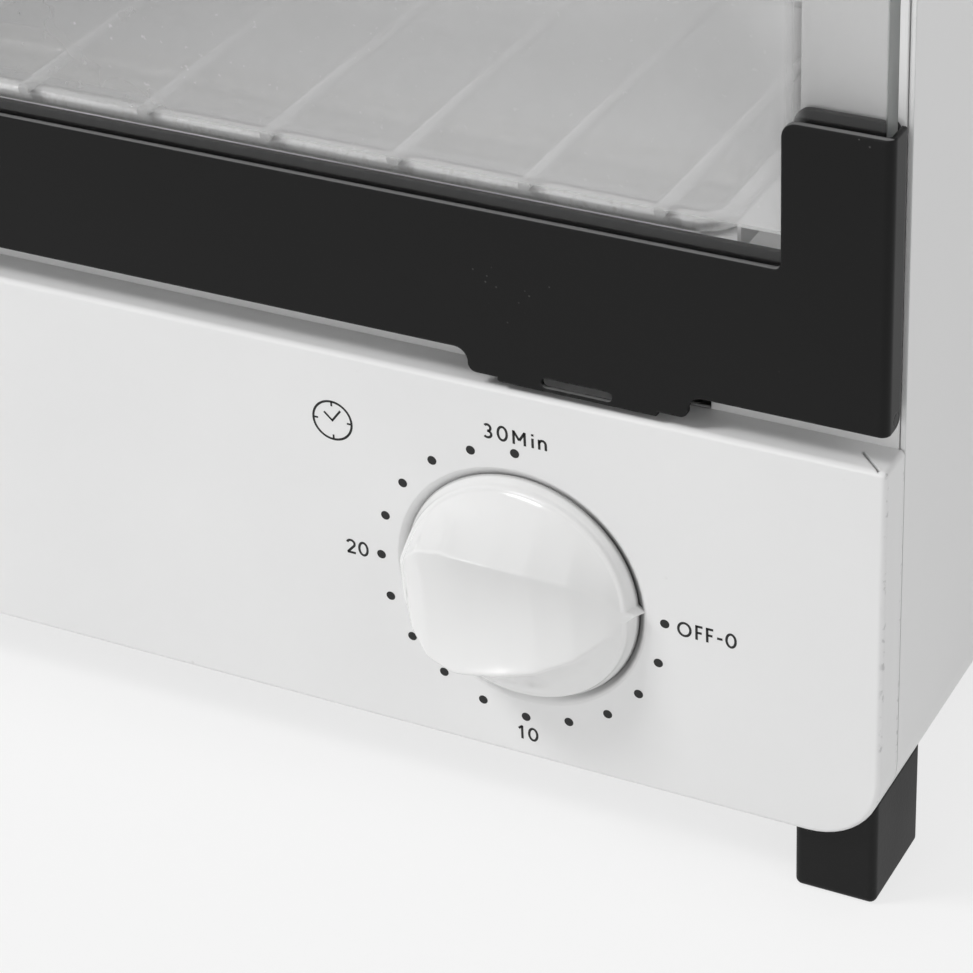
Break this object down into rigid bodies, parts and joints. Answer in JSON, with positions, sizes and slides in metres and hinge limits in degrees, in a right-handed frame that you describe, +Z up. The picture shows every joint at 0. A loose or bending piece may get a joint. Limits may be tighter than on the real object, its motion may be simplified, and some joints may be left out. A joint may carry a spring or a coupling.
{
  "type": "dry heat sterilizer",
  "caption": "Small bench sterilizer: white steel cabinet with a heated chamber behind a drop-down glass door, a sliding wire rack, a rotary timer knob on the lower panel and block feet.",
  "frame": {"origin": "on the standing plane, under the middle of the whole object", "axes": "+Z up, +Y from the door to the back, +X to the right as seen from the door"},
  "size_m": [0.2616, 0.16, 0.1975],
  "materials": {
    "white_paint": "satin white enamel",
    "bright_sheet": "bright aluminised sheet",
    "chrome_wire": "bright plated wire",
    "heater_sheath": "dull steel sheath",
    "ceramic": "unglazed ceramic",
    "mineral_wool": "felted fibre",
    "black_paint": "black powder coat",
    "clear_glass": "polished",
    "silicone": "matte",
    "black_plastic": "satin",
    "white_plastic": "gloss moulded",
    "foot_rubber": "matte moulded",
    "black_rubber": "satin",
    "zinc_steel": "zinc plated",
    "brass_blades": "plain",
    "cam_plastic": "moulded",
    "red_lens": "clear moulded"
  },
  "bodies": {
    "cabinet": {"outer_shell": "white_paint", "base_plate": "white_paint", "back_panel": "white_paint", "front_panel": "white_paint", "front_frame": "white_paint", "chamber_wrap": "bright_sheet", "chamber_wall_right": "bright_sheet", "chamber_wall_left": "bright_sheet", "rack_rail_right": "bright_sheet", "rack_rail_left": "bright_sheet", "lower_heater": "heater_sheath", "upper_heater": "heater_sheath", "heater_insulators": "ceramic", "insulation_blanket": "mineral_wool", "terminal_block": "black_plastic", "thermostat": "black_plastic", "foot_front_left": "foot_rubber", "foot_front_right": "foot_rubber", "foot_rear_left": "foot_rubber", "foot_rear_right": "foot_rubber", "cord_gland": "black_rubber", "gland_nut": "black_rubber", "internal_leads": "black_rubber", "base_screws": "zinc_steel", "back_panel_screws": "zinc_steel", "timer_case": "zinc_steel", "timer_cover": "zinc_steel", "timer_bell": "zinc_steel", "bell_post": "zinc_steel", "timer_screws": "zinc_steel", "foot_screws": "zinc_steel", "earth_stud": "zinc_steel", "fuse_clip": "zinc_steel", "thermal_fuse": "zinc_steel", "lamp_clip": "zinc_steel", "timer_contacts": "brass_blades", "lamp_body": "cam_plastic", "lamp_lens": "red_lens"},
    "door": {"door_lower_front_plate": "black_paint", "door_lower_back_plate": "black_paint", "door_spacers": "black_paint", "door_bracket_screws": "zinc_steel", "door_upper_front_rail": "black_paint", "door_upper_back_rail": "black_paint", "door_glass": "clear_glass", "door_lower_gaskets": "silicone", "door_upper_gaskets": "silicone", "door_handle": "black_plastic", "handle_screws": "zinc_steel", "hinge_pins": "black_paint"},
    "timer_knob": {"timer_knob": "white_plastic", "timer_shaft": "zinc_steel", "timer_cam": "cam_plastic"},
    "rack": {"wire_rack": "chrome_wire"}
  },
  "joints": [
    {"name": "door_hinge", "type": "hinge", "parent": "cabinet", "child": "door", "pos_m": [0, -0.0488, 0.0896], "axis": [1, 0, 0], "range_deg": [0, 90]},
    {"name": "timer_turn", "type": "hinge", "parent": "cabinet", "child": "timer_knob", "pos_m": [0.068, -0.052, 0.046], "axis": [0, 1, 0], "range_deg": [0, 270]},
    {"name": "rack_slide", "type": "slide", "parent": "cabinet", "child": "rack", "axis": [0, -1, 0], "range_m": [0, 0.045]}
  ],
  "couplings": [
    {"joint": "rack_slide", "follows": "door_hinge", "m_per_rad": 0.028648}
  ]
}
